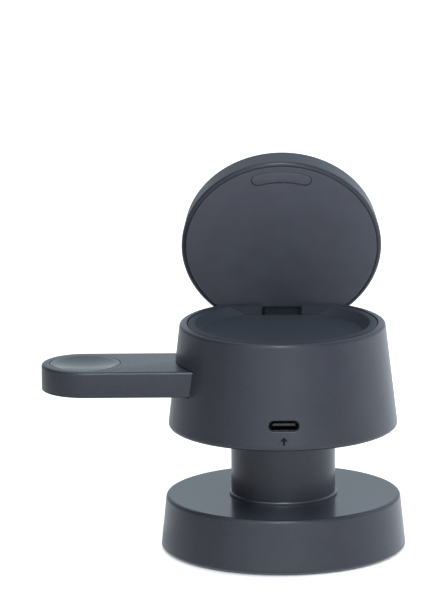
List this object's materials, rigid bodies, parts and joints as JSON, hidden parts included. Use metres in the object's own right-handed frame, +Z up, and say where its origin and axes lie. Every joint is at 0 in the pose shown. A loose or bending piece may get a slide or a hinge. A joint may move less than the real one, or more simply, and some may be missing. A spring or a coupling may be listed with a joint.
{
  "type": "four-in-one wireless charger",
  "caption": "Free-standing wireless charger: weighted round base, swivelling column, conical head with a tray, fold-up magnetic pad and slide-out side arm with a dished puck.",
  "frame": {"origin": "on the table, under the swivel axis of the column, at the underside of the rubber foot", "axes": "+Z up along the swivel axis; the power inlet faces -Y, the pad stands at +Y and the side arm points to -X"},
  "size_m": [0.1049, 0.0757, 0.1123],
  "materials": {
    "body_plastic": "fine satin texture, slate blue-grey",
    "inner_plastic": "plain moulded",
    "soft_face": "soft silicone",
    "foot_rubber": "matte rubber",
    "puck_plastic": "polished dish",
    "steel": "plated",
    "hinge_metal": "painted die casting",
    "copper": "enamelled winding",
    "ferrite": "sintered sheet",
    "magnet": "nickel plated",
    "board": "solder mask"
  },
  "bodies": {
    "base": {"base_shell": "body_plastic", "swivel_ring": "inner_plastic", "ballast": "steel", "base_plate": "body_plastic", "base_screws": "steel", "foot_pad": "foot_rubber"},
    "head": {"spindle": "steel", "spindle_screws": "steel", "thrust_washer": "steel", "spindle_nut": "steel", "column": "body_plastic", "column_screws": "steel", "head_shell": "body_plastic", "head_plate": "body_plastic", "head_screws": "steel", "tray_insert": "soft_face", "tray_coil": "copper", "tray_ferrite": "ferrite", "main_board": "board", "board_screws": "steel", "board_parts": "inner_plastic", "inlet_socket": "steel", "inlet_tongue": "inner_plastic", "arm_guide": "inner_plastic", "guide_screws": "steel", "hinge_pin": "steel", "hinge_washers": "steel"},
    "pad": {"pad_shell": "body_plastic", "pad_face": "soft_face", "pad_magnets": "magnet", "pad_coil": "copper", "pad_ferrite": "ferrite", "pad_board": "board", "pad_switch": "inner_plastic", "pad_back_cover": "body_plastic", "hinge_arm": "hinge_metal", "hinge_screws": "steel"},
    "key": {"pad_key": "body_plastic"},
    "arm": {"arm_shell": "body_plastic", "arm_cover": "body_plastic", "arm_screws": "steel", "puck": "puck_plastic", "puck_coil": "copper", "puck_ferrite": "ferrite", "puck_magnet": "magnet", "arm_board": "board"}
  },
  "joints": [
    {"name": "head_swivel", "type": "hinge", "parent": "base", "child": "head", "pos_m": [0, 0, 0.0158], "axis": [0, 0, 1], "continuous": true},
    {"name": "pad_fold", "type": "hinge", "parent": "head", "child": "pad", "pos_m": [0, 0.0239, 0.05804], "axis": [1, 0, 0], "range_deg": [0, 68.5]},
    {"name": "arm_slide", "type": "slide", "parent": "head", "child": "arm", "axis": [1, 0, 0], "range_m": [0, 0.036]},
    {"name": "key_press", "type": "slide", "parent": "pad", "child": "key", "axis": [0, 0.9304, 0.3665], "range_m": [0, 0.0004], "stiffness_N_per_m": 1500}
  ]
}
